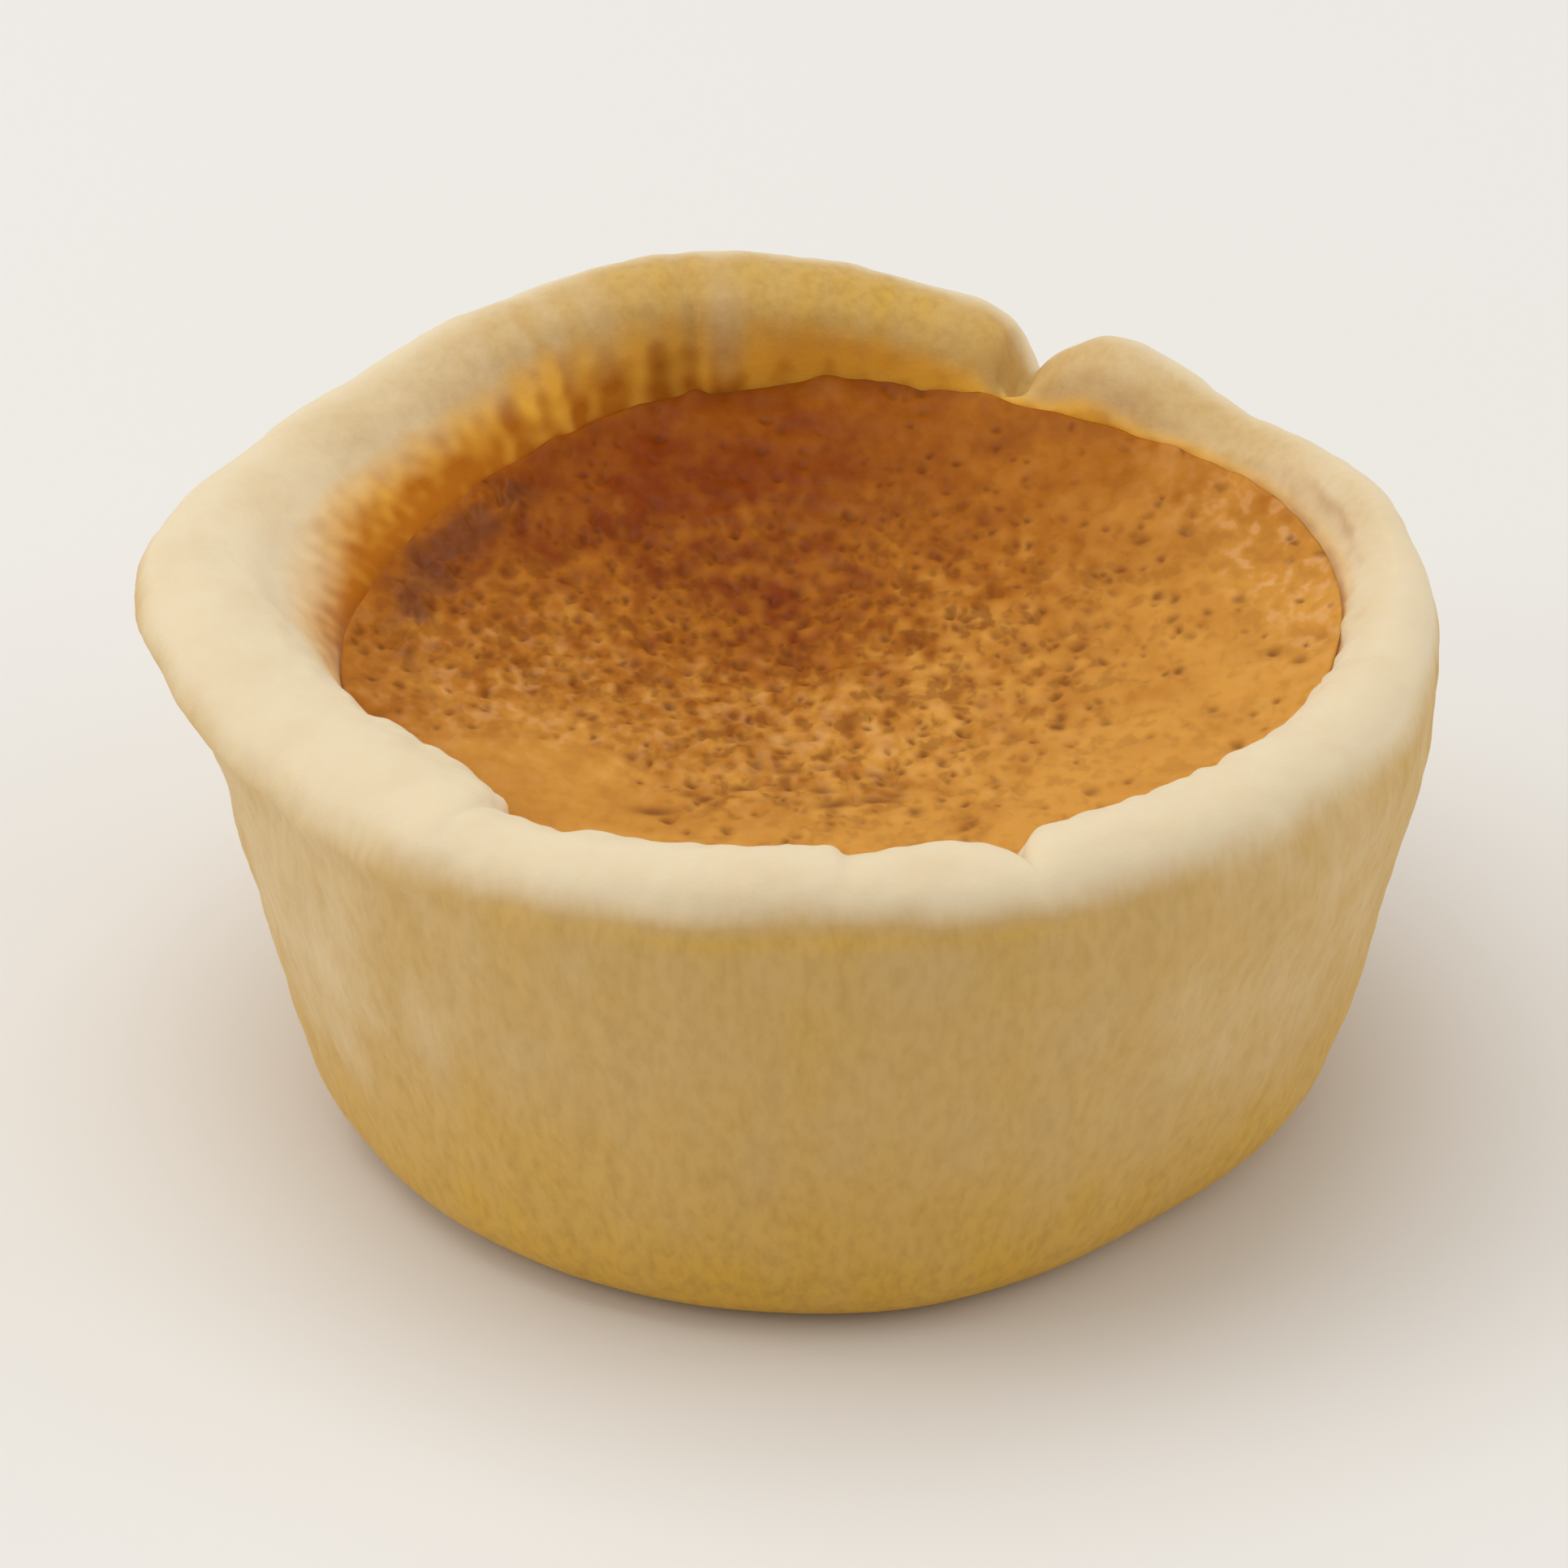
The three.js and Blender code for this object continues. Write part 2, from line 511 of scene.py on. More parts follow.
def per_metre(size: float) -> float:
    """Returns the scale that makes a pattern's features a size in millimetres on metre coordinates."""
    return 1 / (size * MM)


def add_node(
    tree: bpy.types.NodeTree,
    kind: str,
    settings: dict | None = None,
    links: dict | None = None,
    output: str | int = 0,
) -> bpy.types.NodeSocket | None:
    """Adds a shader node.

    Args:
        tree: the material's node tree.
        kind: the node's type, without the leading "ShaderNode".
        settings: values by the name of a property or input, or by an input's number.
        links: the outputs that feed inputs, by the input's name or number.
        output: the name or number of the output that is wanted.

    Returns:
        That output, or None where the node has none.
    """
    node = tree.nodes.new("ShaderNode" + kind)
    for key, value in (settings or {}).items():
        if isinstance(key, str) and hasattr(node, key):
            setattr(node, key, value)
        else:
            node.inputs[key].default_value = value
    for key, source in (links or {}).items():
        tree.links.new(source, node.inputs[key])
    return node.outputs[output] if len(node.outputs) else None


# What makes a Mix node mix colours, and its inputs and output then.
COLOURS = {"data_type": "RGBA"}
MIX_A, MIX_B, MIX_RESULT = 6, 7, 2


def new_material(name: str) -> tuple[bpy.types.Material, Callable]:
    """Makes a material without nodes.

    Args:
        name: its name.

    Returns:
        The material, and the function that adds a node to it.
    """
    material = bpy.data.materials.new(name)
    material.use_nodes = True
    material.node_tree.nodes.clear()
    return material, partial(add_node, material.node_tree)


def lay_baked_colours(
    node: Callable, bake: bpy.types.NodeSocket, cloud: bpy.types.NodeSocket, uneven: float, colours: tuple
) -> tuple[bpy.types.NodeSocket, bpy.types.NodeSocket]:
    """Colours a surface by how baked each place is.

    Args:
        node: the function that adds a node.
        bake: how baked each place is, from 0 to 1.
        cloud: noise round 0.5 that makes the baking uneven.
        uneven: how far the noise moves the baking in all.
        colours: the colours of the least, the half and the most baked places, as sRGB hex codes.

    Returns:
        The colour, and how baked each place is with its unevenness.
    """
    least, half, most = (linear(colour) for colour in colours)
    moved = node("Math", {"operation": "MULTIPLY_ADD", 1: uneven, 2: -uneven / 2}, {0: cloud})
    baked = node("Math", {"operation": "ADD", "use_clamp": True}, {0: bake, 1: moved})
    early = node("MapRange", {"From Max": 0.5}, {"Value": baked})
    late = node("MapRange", {"From Min": 0.5}, {"Value": baked})
    skin = node("Mix", COLOURS | {MIX_A: least, MIX_B: half}, {"Factor": early}, MIX_RESULT)
    skin = node("Mix", COLOURS | {MIX_B: most}, {"Factor": late, MIX_A: skin}, MIX_RESULT)
    return skin, baked


@dataclass(frozen=True)
class ShortcrustFinish:
    """Baked shortcrust pastry: a matt, fine-grained dough, pale where thick and golden where thin.

    Where syrup boiled over, it is soaked amber and honey brown. The sizes are in millimetres. Flour is
    finer than the crumb given here, which is as coarse as it needs to be to show.
    """

    pale: str = "ecd8b3"
    golden: str = "d5b071"
    # The most baked colour, golden from the tin, and lighter and yellower as painted light bounced up from
    # the floor.
    foot: str = "d8aa47"
    fleck: str = "b88d48"
    amber: str = "b4670e"
    honey: str = "edaf3c"
    umber: str = "7a4208"
    crumb: float = 0.35
    fleck_size: float = 0.6
    fleck_length: float = 1.4
    mottle: float = 5.0
    uneven: float = 0.3

    def material(self) -> bpy.types.Material:
        """Builds the material.

        Returns:
            The material, which reads the vertex values bake, soak, ridge and crease.
        """
        material, node = new_material("baked_shortcrust_pastry")
        place = node("TexCoord", output="Object")
        bake, soak, ridge, crease = (
            node("Attribute", {"attribute_name": name}, output="Fac")
            for name in ("bake", "soak", "ridge", "crease")
        )
        cloud = node("TexNoise", {"Scale": per_metre(self.mottle), "Detail": 4.0}, {"Vector": place})
        colours = (self.pale, self.golden, self.foot)
        skin, baked = lay_baked_colours(node, bake, cloud, self.uneven, colours)

        # Flecks drawn up the side, where it is baked.
        upright = (1, 1, self.fleck_size / self.fleck_length)
        drawn_up = node("VectorMath", {"operation": "MULTIPLY", 1: upright}, {0: place})
        grain = {"Scale": per_metre(self.fleck_size), "Detail": 3.0, "Roughness": 0.5}
        fleck = node("TexNoise", grain, {"Vector": drawn_up})
        fleck = node("MapRange", {"From Min": 0.4, "From Max": 0.75, "To Max": 0.6}, {"Value": fleck})
        fleck = node("Math", {"operation": "MULTIPLY", "use_clamp": True}, {0: fleck, 1: baked})
        flecked = COLOURS | {MIX_B: linear(self.fleck)}
        skin = node("Mix", flecked, {"Factor": fleck, MIX_A: skin}, MIX_RESULT)

        # Dough soaked with syrup, and the darkest brown: drips, a dark spot, and painted shade in the lap's
        # groove.
        soaked = {MIX_A: linear(self.amber), MIX_B: linear(self.honey)}
        syrup = node("Mix", COLOURS | soaked, {"Factor": ridge}, MIX_RESULT)
        skin = node("Mix", COLOURS, {"Factor": soak, MIX_A: skin, MIX_B: syrup}, MIX_RESULT)
        darkest = COLOURS | {MIX_B: linear(self.umber)}
        skin = node("Mix", darkest, {"Factor": crease, MIX_A: skin}, MIX_RESULT)

        grain = {"Scale": per_metre(self.crumb), "Detail": 3.0, "Roughness": 0.6}
        crumb = node("TexNoise", grain, {"Vector": place})
        bump = node("Bump", {"Strength": 0.35, "Distance": 0.1 * MM}, {"Height": crumb})
        look = {
            "Roughness": 0.65,
            "IOR": 1.45,
            "Specular IOR Level": 0.1,
            "Subsurface Weight": 0.25,
            "Subsurface Radius": (1.0, 0.6, 0.25),
            "Subsurface Scale": 1.5 * MM,
        }
        shader = node("BsdfPrincipled", look, {"Base Color": skin, "Normal": bump})
        node("OutputMaterial", links={"Surface": shader})
        return material


@dataclass(frozen=True)
class BakedFillingFinish:
    """Baked butter and brown sugar filling: a thin porous skin with a soft sheen over a syrupy inside.

    Pale froth dried on it in specks, and it is browned by the oven. The sizes are in millimetres.
    """

    golden: str = "d8963b"
    caramel: str = "ae6612"
    brown: str = "823602"
    pore: str = "6a2c00"
    speck: str = "e6ac6a"
    brown_speck: str = "b56a30"
    syrup: str = "763c18"
    grain: float = 0.9
    fine_pore: float = 1.25
    drawn: float = 1.6
    warp: float = 0.8
    warped: float = 0.5
    cloud: float = 3.5
    uneven: float = 0.5
    film: float = 0.06

    def material(self) -> bpy.types.Material:
        """Builds the material.

        Returns:
            The material, which reads the vertex values pore, brown, coarse, froth and syrup.
        """
        material, node = new_material("baked_butter_sugar_filling")
        place = node("TexCoord", output="Object")
        pore, brown, coarse, froth, syrup = (
            node("Attribute", {"attribute_name": name}, output="Fac")
            for name in ("pore", "brown", "coarse", "froth", "syrup")
        )
        cloud = node("TexNoise", {"Scale": per_metre(self.cloud), "Detail": 5.0}, {"Vector": place})
        colours = (self.golden, self.caramel, self.brown)
        skin, baked = lay_baked_colours(node, brown, cloud, self.uneven, colours)

        # A fine grain, warped, and drawn out as the pores are.
        warp = node("TexNoise", {"Scale": per_metre(self.warp)}, {"Vector": place}, "Color")
        drawn = node("VectorMath", {"operation": "MULTIPLY", 1: (1, 1 / self.drawn, 1)}, {0: place})
        shift = {"operation": "MULTIPLY_ADD", 1: [self.warped * MM] * 3}
        warped = node("VectorMath", shift, {0: warp, 2: drawn})
        coarseness = {"Scale": per_metre(self.grain), "Detail": 1.5, "Roughness": 0.5}
        grain = node("TexNoise", coarseness, {"Vector": warped})

        # Specks of dried froth.
        froths = node("MapRange", {"From Min": 0.52, "From Max": 0.66, "To Max": 0.65}, {"Value": grain})
        froths = node("Math", {"operation": "MULTIPLY"}, {0: froths, 1: froth})
        dried = {MIX_A: linear(self.speck), MIX_B: linear(self.brown_speck)}
        speck = node("Mix", COLOURS | dried, {"Factor": baked}, MIX_RESULT)
        skin = node("Mix", COLOURS, {"Factor": froths, MIX_A: skin, MIX_B: speck}, MIX_RESULT)

        # Pits and fine pores too small for the mesh, the pores that are in it, and syrup.
        pits = node("MapRange", {"From Min": 0.48, "From Max": 0.35, "To Max": 0.6}, {"Value": grain})
        pits = node("Math", {"operation": "MULTIPLY"}, {0: pits, 1: coarse})
        fine = node("TexVoronoi", {"Scale": per_metre(self.fine_pore)}, {"Vector": warped})
        fine = node("MapRange", {"From Min": 0.32, "From Max": 0.1, "To Max": 0.65}, {"Value": fine})
        scattered = node("MapRange", {"From Min": 0.35, "From Max": 0.55}, {"Value": cloud})
        for share in (scattered, coarse):
            fine = node("Math", {"operation": "MULTIPLY"}, {0: fine, 1: share})
        dark = pits
        for other in (fine, pore):
            dark = node("Math", {"operation": "MAXIMUM"}, {0: dark, 1: other})
        for colour, share in ((self.pore, dark), (self.syrup, syrup)):
            over = COLOURS | {MIX_B: linear(colour)}
            skin = node("Mix", over, {"Factor": share, MIX_A: skin}, MIX_RESULT)

        bump = node("Bump", {"Strength": 0.6, "Distance": 0.15 * MM}, {"Height": grain})
        film = node("Math", {"operation": "MULTIPLY", 1: self.film}, {0: syrup})
        look = {
            "Roughness": 0.42,
            "IOR": 1.47,
            "Specular IOR Level": 0.1,
            "Coat Roughness": 0.2,
            "Coat IOR": 1.47,
            "Subsurface Weight": 0.15,
            "Subsurface Radius": (1.0, 0.4, 0.1),
            "Subsurface Scale": 1.2 * MM,
        }
        shader = node("BsdfPrincipled", look, {"Base Color": skin, "Coat Weight": film, "Normal": bump})
        node("OutputMaterial", links={"Surface": shader})
        return material


@dataclass(frozen=True)
class FloorFinish:
    """A painted board: smooth, matt and pale."""

    paint: str = "efebe4"
    mottle: float = 90.0

    def material(self) -> bpy.types.Material:
        """Builds the material.

        Returns:
            The material, with a faint mottle so that the paint isn't flat.
        """
        material, node = new_material("matt_painted_board")
        place = node("TexCoord", output="Object")
        cloud = node("TexNoise", {"Scale": per_metre(self.mottle), "Detail": 2.0}, {"Vector": place})
        rough = node("MapRange", {"To Min": 0.75, "To Max": 0.85}, {"Value": cloud})
        shader = node("BsdfPrincipled", {"Base Color": linear(self.paint)}, {"Roughness": rough})
        node("OutputMaterial", links={"Surface": shader})
        return material


@dataclass(frozen=True)
class Fold:
    """A fold in the lip: the dough on its lower side stands proud, and a groove runs down beside it.

    The dough steps up over a turn of step to either side, and the fold fades in and out along the skin.
    """

    at: float
    proud: float
    groove: float
    reach: float
    width: float
    start: float
    end: float
    step: float = 1.2
    fade_in: float = 1.0
    fade_out: float = 0.6

    def lift(self, azimuth: np.ndarray, place: np.ndarray) -> np.ndarray:
        """The shape of the fold.

        Args:
            azimuth: the azimuth of each point of the skin.
            place: its place along the skin.

        Returns:
            How far the fold lifts each point, in millimetres.
        """
        away = turn(azimuth, self.at)
        lifted = np.exp(np.minimum(away, 0) / self.reach) * ease(away, self.step, -self.step)
        return (self.proud * lifted - self.groove * self.shade(azimuth)) * self.over(place)

    def shade(self, azimuth: np.ndarray) -> np.ndarray:
        """Returns how near each point is to the groove, from 0 to 1."""
        return hump(turn(azimuth, self.at + self.width / 2), 0, self.width)

    def over(self, place: np.ndarray) -> np.ndarray:
        """Returns the fold's share at each place along the skin."""
        band = Band(self.start, self.start + self.fade_in, self.end, self.end + self.fade_out)
        return band.over(place)


@dataclass
class Crust:
    """The pastry cup: turned from its outline, then pressed to the shape that fingers and tin gave it.

    A value that is uneven for several reasons gives its shares by blotch, by flute and by streak.
    """

    form: TartForm
    finish: ShortcrustFinish = ShortcrustFinish()
    columns: int = 760
    base_rows: int = 12
    stretch_rows: tuple = (5, 6, 10, 13, 12, 8, 7, 9, 8, 8, 8, 16)
    below_fill: float = 0.6
    merged: float = 0.002

    # The syrup boiled up the high back of the inner wall and left uneven flutes there.
    back: tuple = (110.0, 60.0, 95.0)
    inner_wall: Band = Band(11.0, 11.5)
    fluted: Swell = Swell(105, 38)
    flute_turns: tuple = (3.4, 7.0)
    flute_heights: tuple = (0.6, 1.1)
    flute_width: float = 0.36
    flute_depth: float = 0.22
    flute_seed: int = 11

    folds: tuple = (
        Fold(at=104.5, proud=0.25, groove=0.06, reach=9, width=1.8, start=8.6, end=11.6),
        Fold(at=248, proud=-0.12, groove=0.1, reach=5, width=1.5, start=7.6, end=9.8),
    )
    lap: Fold = Fold(at=68.5, proud=-0.2, groove=0.2, reach=4, width=0.7, start=8.2, end=11.9)

    # Where the lip flares out, its inner slope is rubbed smooth.
    rubbed: Swell = Swell(155, 32)
    rubbed_slope: Band = Band(8.6, 9.8, 11.7, 12)
    rubs: int = 40

    # The inner edge crumbled, and the side was drawn up as it was pressed.
    crumbs: Mottle = Mottle(1.3, depth=0.3)
    crumbled: tuple = (10.6, 0.8)
    drawn_up: Mottle = Mottle(1.0, 40, 0.07, (1, 1, 0.22))
    pressed_side: Band = Band(2, 3, 6.2, 7.4)
    waver: Mottle = Mottle(6, 80, 0.25)
    off_base: Band = Band(0.5, 2)
    grained: Band = Band(1.5, 3, 11.3, 12)
    lump_size: float = 8.0
    lump_depth: float = 0.7
    pit_size: float = 1.1
    pit_depth: float = 0.08

    # The side is baked the most at the foot. It is less baked towards the left and the right, which is
    # partly painted light falling on the sides that face the lamps.
    blotches: Mottle = Mottle(4.5, 20)
    side_end: tuple = (6.7, 7.9)
    side_ragged: float = 0.25
    side_bake: float = 0.58
    foot_bake: float = 0.42
    foot_height: float = 15.0
    foot_higher: Swell = Swell(226, 22, 4)
    foot_ragged: float = 2.5
    bake_drawn: Mottle = Mottle(2.2, 55, 0.1, (1, 1, 0.3))
    paler_and_lit_sides: tuple = (Swell(205, 28, 0.45), Swell(325, 30, 0.25))
    even_at_foot: float = 0.6
    # A darker tan band just under the lip at the front, painted shade of the overhanging lip.
    under_lip: Mark = Mark(268, 24, 6.9, 0.45, 0.22)
    under_lip_shade_ragged: float = 0.6

    # The lip is thin at the back and baked gold there, less where it is thicker; beside the fold that
    # stands proud it is lighter in colour, a painted highlight on the fold's lit side.
    thin: Swell = Swell(84, 54)
    thin_lip: Band = Band(8.2, 9.6)
    thicker: Swell = Swell(56, 9, 0.35)
    thin_bake: float = 0.76
    thin_uneven: float = 0.15
    painted_highlight_on_fold: Mark = Mark(101, 3.4, 10.4, 1.1, 1)

    # Syrup soaked the inner wall up to an uneven line, lighter where the wall is proud, with dark drips;
    # painted shade darkens the lap's groove.
    soak_line: float = 11.0
    soak_fade: tuple = (-0.35, 0.5)
    soak_lower: tuple = (Swell(174, 14, 0.3), Swell(102, 4, 0.3))
    soak_uneven: tuple = (0.1, -0.08, 0.06)
    front_soak: float = 0.5
    streaks: Mottle = Mottle(1.0, 35)
    light_top: Band = Band(-1, 0, 10.9, 11.9)
    lighter: tuple = (Swell(90, 24, 0.8), Swell(142, 22, -0.16))
    light_uneven: tuple = (0.5, 0.45)
    wedge: Swell = Swell(109, 5, 0.55)
    wedge_band: Band = Band(10.9, 11.3)
    lap_shade: float = 0.12
    dark_spot: Mark = Mark(109, 3.6, 11.6, 0.45, 0.35)
    dripping: Swell = Swell(98, 36)
    drip_band: Band = Band(11.72, 12)
    drips: tuple = (0.45, 0.35)

    def places(self) -> np.ndarray:
        """Returns where the rows of the skin lie, counted in control points from the underside's rim."""
        parts = [np.linspace(i, i + 1, n, endpoint=False) for i, n in enumerate(self.stretch_rows)]
        return np.append(np.concatenate(parts), len(self.stretch_rows))

    def outline(self, azimuths: np.ndarray) -> np.ndarray:
        """The closed outline of the cup.

        Args:
            azimuths: the columns.

        Returns:
            Radii and heights from the middle of the underside to the middle of the floor, shape
            (rows, columns, 2).
        """
        skin = smooth_curve(self.form.skin_controls(azimuths, self.below_fill), self.places())
        rubbed = skin.copy()
        for _ in range(self.rubs):
            rubbed[1:-1] = (rubbed[:-2] + 2 * rubbed[1:-1] + rubbed[2:]) / 4
        share = self.rubbed_slope.over(self.places())[:, None] * self.rubbed.over(azimuths)
        skin += (rubbed - skin) * share[..., None]
        shares = np.linspace(0, 1, self.base_rows, endpoint=False)
        base = skin[0][None] * shares[:, None, None]
        return np.concatenate([base, skin, self.form.pocket(azimuths, 0)])

    def turned_blank(self) -> bpy.types.Object:
        """Turns a blank from the outline at azimuth 0.

        Returns:
            The blank, whose vertices keep the number of their row in the attribute row.
        """
        profile = self.outline(np.zeros(1))[:, 0]
        drawn = bpy.data.curves.new("crust", "CURVE")
        drawn.dimensions = "3D"
        line = drawn.splines.new("POLY")
        line.points.add(len(profile) - 1)
        for point, (radius, height) in zip(line.points, profile * MM):
            point.co = (radius, 0, height, 1)
        blank = bpy.data.objects.new("crust", drawn)
        bpy.context.scene.collection.objects.link(blank)
        select_only(blank)
        bpy.ops.object.convert(target="MESH")
        blank = bpy.context.object
        write_values(blank, "row", np.arange(len(profile)))
        screw = blank.modifiers.new("turn", "SCREW")
        screw.steps = screw.render_steps = self.columns
        screw.use_merge_vertices = True
        screw.merge_threshold = self.merged * MM
        bpy.ops.object.modifier_apply(modifier=screw.name)
        bpy.ops.object.mode_set(mode="EDIT")
        bpy.ops.mesh.select_all(action="SELECT")
        bpy.ops.mesh.remove_doubles(threshold=self.merged * MM)
        bpy.ops.mesh.normals_make_consistent(inside=False)
        bpy.ops.object.mode_set(mode="OBJECT")
        return blank

    def flutes(self, azimuth: np.ndarray) -> np.ndarray:
        """The flutes that the boiling syrup left on the inner wall.

        Args:
            azimuth: where they are read.

        Returns:
            From -1 in a valley to 1 on a ridge.
        """
        draw = np.random.default_rng(self.flute_seed)
        wave = np.zeros_like(azimuth)
        at = 0.0
        while at < 360 - self.flute_turns[1]:
            spread = draw.uniform(*self.flute_turns)
            height = draw.uniform(*self.flute_heights)
            wave += height * hump(turn(azimuth, at), 0, self.flute_width * spread)
            at += spread
        return np.clip(wave * 2 - 1, -1, 1)

    def relief(self, place: np.ndarray, azimuth: np.ndarray, points: np.ndarray) -> np.ndarray:
        """The marks that the outline leaves out.

        Args:
            place: each vertex's place along the skin.
            azimuth: its azimuth.
            points: its position.

        Returns:
            How far each vertex moves outwards, in millimetres.
        """
        back = self.at_back(azimuth)
        wall = self.inner_wall.over(place) * back * self.fluted.over(azimuth)
        lift = self.flute_depth / 2 * self.flutes(azimuth) * wall
        lift += sum(fold.lift(azimuth, place) for fold in (*self.folds, self.lap))
        lift += self.crumbs.over(points) * hump(place, *self.crumbled) * (1 - back)
        lift += self.drawn_up.over(points) * self.pressed_side.over(place)
        lift += self.waver.over(points) * self.off_base.over(place)
        return lift

    def at_back(self, azimuth: np.ndarray) -> np.ndarray:
        """Returns how far each azimuth is at the high back of the inner wall, from 0 to 1."""
        middle, full, end = self.back
        return ease(np.abs(turn(azimuth, middle)), end, full)

    def build(self) -> bpy.types.Object:
        """Builds the crust.

        Returns:
            The finished piece.
        """
        piece = self.turned_blank()
        points = read_points(piece)
        rows = np.empty(len(points), dtype=np.float32)
        piece.data.attributes["row"].data.foreach_get("value", rows)
        rows = np.round(rows).astype(int)
        step = 360 / self.columns
        around = np.degrees(np.arctan2(points[:, 1], points[:, 0]))
        column = np.round(around / step).astype(int) % self.columns
        outline = self.outline(np.arange(self.columns) * step)[rows, column]
        azimuth = column * step
        turned = np.radians(azimuth)
        sides = outline[:, 0] * np.cos(turned), outline[:, 0] * np.sin(turned)
        pressed = np.stack([*sides, outline[:, 1]], axis=1)
        write_points(piece, pressed)

        place = self.place_of(rows)
        on_skin = (rows > self.base_rows) & (rows < self.base_rows + len(self.places()) - 1)
        normals = read_normals(piece)
        pressed += normals * (self.relief(place, azimuth, pressed) * on_skin)[:, None]
        write_points(piece, pressed)
        grained = self.grained.over(place) * on_skin
        press_grain(piece, Grain.LUMPS, self.lump_size, self.lump_depth, grained)
        press_grain(piece, Grain.PITS, self.pit_size, self.pit_depth, grained)

        pressed = read_points(piece)
        pressed[:, 2] = np.maximum(pressed[:, 2], 0)
        write_points(piece, pressed)
        self.colour(piece, place, azimuth, pressed)
        select_only(piece)
        bpy.ops.object.shade_smooth()
        piece.data.materials.clear()
        piece.data.materials.append(self.finish.material())
        piece.data.attributes.remove(piece.data.attributes["row"])
        return piece

    def place_of(self, rows: np.ndarray) -> np.ndarray:
        """Returns the place along the skin of each row, held at its ends off the skin."""
        places = self.places()
        return places[np.clip(rows - self.base_rows, 0, len(places) - 1)]

    def colour(
        self, piece: bpy.types.Object, place: np.ndarray, azimuth: np.ndarray, points: np.ndarray
    ) -> None:
        """Writes the values that the finish reads.

        Args:
            piece: the crust.
            place: each vertex's place along the skin.
            azimuth: its azimuth.
            points: its position.
        """
        blotch = self.blotches.over(points)
        streaks = self.streaks.over(points)
        flutes = self.flutes(azimuth) * self.fluted.over(azimuth)

        side = 1 - ease(place + self.side_ragged * blotch, *self.side_end)
        foot_height = self.foot_height + self.foot_higher.over(azimuth)
        low = ease(points[:, 2] + self.foot_ragged * blotch, foot_height, 1)
        tanned = side * (self.side_bake + self.foot_bake * low + self.bake_drawn.over(points))
        # Less baked towards the left and the right: partly painted light falling on those sides.
        tanned *= 1 - total(self.paler_and_lit_sides, azimuth) * (1 - self.even_at_foot * low)
        # Painted shade under the lip, added to the bake.
        tanned += self.under_lip.over(azimuth, place) * (1 + self.under_lip_shade_ragged * blotch)
        thin = self.thin.over(azimuth) * self.thin_lip.over(place) * (1 - self.thicker.over(azimuth))
        # The fold's mark lowers the bake: a painted highlight on the proud, lit side of the fold.
        uneven = blotch + flutes - self.painted_highlight_on_fold.over(azimuth, place)
        thin *= self.thin_bake + self.thin_uneven * uneven
        write_values(piece, "bake", np.maximum(tanned, thin))

        by_blotch, by_flutes, by_streaks = self.soak_uneven
        line = self.soak_line + total(self.soak_lower, azimuth)
        line += by_blotch * blotch + by_flutes * flutes + by_streaks * streaks
        soak = ease(place, *(line + fade for fade in self.soak_fade))
        back = self.at_back(azimuth)
        write_values(piece, "soak", soak * (self.front_soak + (1 - self.front_soak) * back))

        by_flutes, by_streaks = self.light_uneven
        light = self.light_top.over(place) + total(self.lighter, azimuth)
        light += by_flutes * flutes + by_streaks * streaks
        light -= self.wedge.over(azimuth) * self.wedge_band.over(place)
        write_values(piece, "ridge", np.clip(light, 0, 1))

        strong, uneven = self.drips
        dark = self.drip_band.over(place) * self.dripping.over(azimuth)
        dark *= strong - uneven * (flutes + streaks)
        # Painted shade in the lap's groove.
        dark += self.lap_shade * self.lap.shade(azimuth) * self.lap.over(place)
        dark += self.dark_spot.over(azimuth, place)
        write_values(piece, "crease", np.clip(dark, 0, 1))


